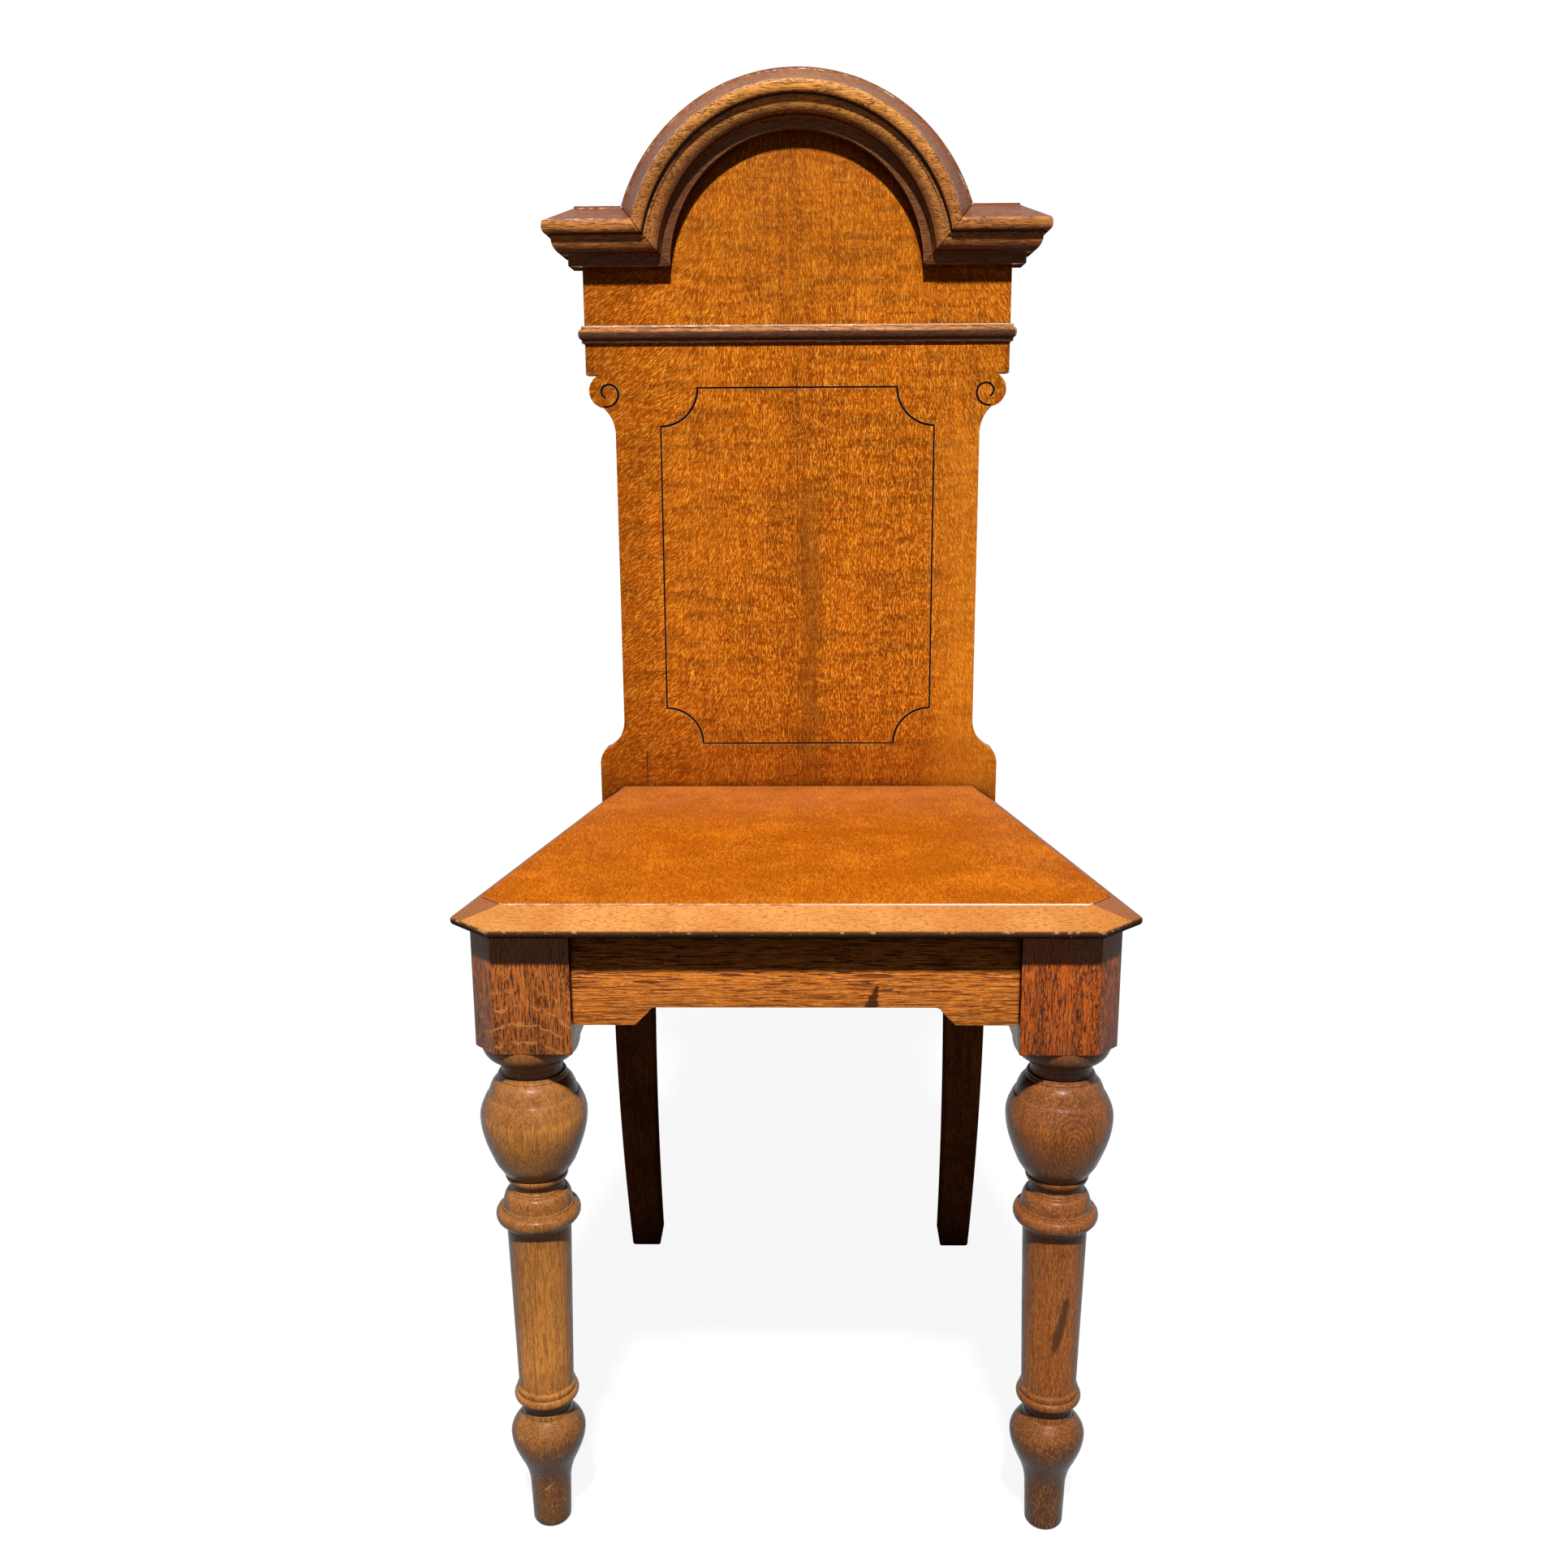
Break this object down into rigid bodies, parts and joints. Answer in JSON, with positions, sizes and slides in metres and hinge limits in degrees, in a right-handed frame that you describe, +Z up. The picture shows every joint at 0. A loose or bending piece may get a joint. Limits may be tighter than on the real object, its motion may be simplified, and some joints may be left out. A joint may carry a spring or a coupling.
{
  "type": "hall chair",
  "caption": "Oak hall chair: solid shaped back under an arched cornice moulding, bevelled plank seat with canted corners, turned front legs and raked rear legs.",
  "frame": {"origin": "on the floor, under the middle of the chair's width and depth", "axes": "+Z up, -Y the front, from which one sits down, +X to the right as seen from the front"},
  "size_m": [0.44, 0.448, 1.032],
  "materials": {
    "seat_oak": "polished, worn golden-orange oak",
    "back_oak": "polished quarter-sawn oak, amber with fine ray flecks",
    "moulding_oak": "polished brown oak with worn arrises",
    "leg_oak": "polished amber-brown oak with dark pores",
    "rear_oak": "dark brown oak, dull",
    "block_pine": "unfinished aged softwood",
    "screw_steel": "dull steel, slightly tarnished"
  },
  "bodies": {
    "root": {"seat_board_left": "seat_oak", "seat_board_right": "seat_oak", "back_board_left": "back_oak", "back_board_right": "back_oak", "cornice_arch": "moulding_oak", "cornice_ear_left": "moulding_oak", "cornice_ear_right": "moulding_oak", "cornice_return_left": "moulding_oak", "cornice_return_right": "moulding_oak", "string_front": "moulding_oak", "string_return_left": "moulding_oak", "string_return_right": "moulding_oak", "front_rail": "leg_oak", "front_leg_left": "leg_oak", "front_leg_right": "leg_oak", "side_rail_left": "rear_oak", "side_rail_right": "rear_oak", "back_rail": "rear_oak", "rear_leg_left": "rear_oak", "rear_leg_right": "rear_oak", "glue_block_front_left": "block_pine", "glue_block_front_right": "block_pine", "glue_block_back_left": "block_pine", "glue_block_back_right": "block_pine", "glue_block_side_left_1": "block_pine", "glue_block_side_left_2": "block_pine", "glue_block_side_right_1": "block_pine", "glue_block_side_right_2": "block_pine", "screw_ear_left": "screw_steel", "screw_ear_right": "screw_steel", "screw_upright_1_left": "screw_steel", "screw_upright_1_right": "screw_steel", "screw_upright_2_left": "screw_steel", "screw_upright_2_right": "screw_steel", "screw_upright_3_left": "screw_steel", "screw_upright_3_right": "screw_steel", "screw_rail_1_left": "screw_steel", "screw_rail_1_right": "screw_steel", "screw_rail_2_left": "screw_steel", "screw_rail_2_right": "screw_steel"}
  },
  "joints": []
}
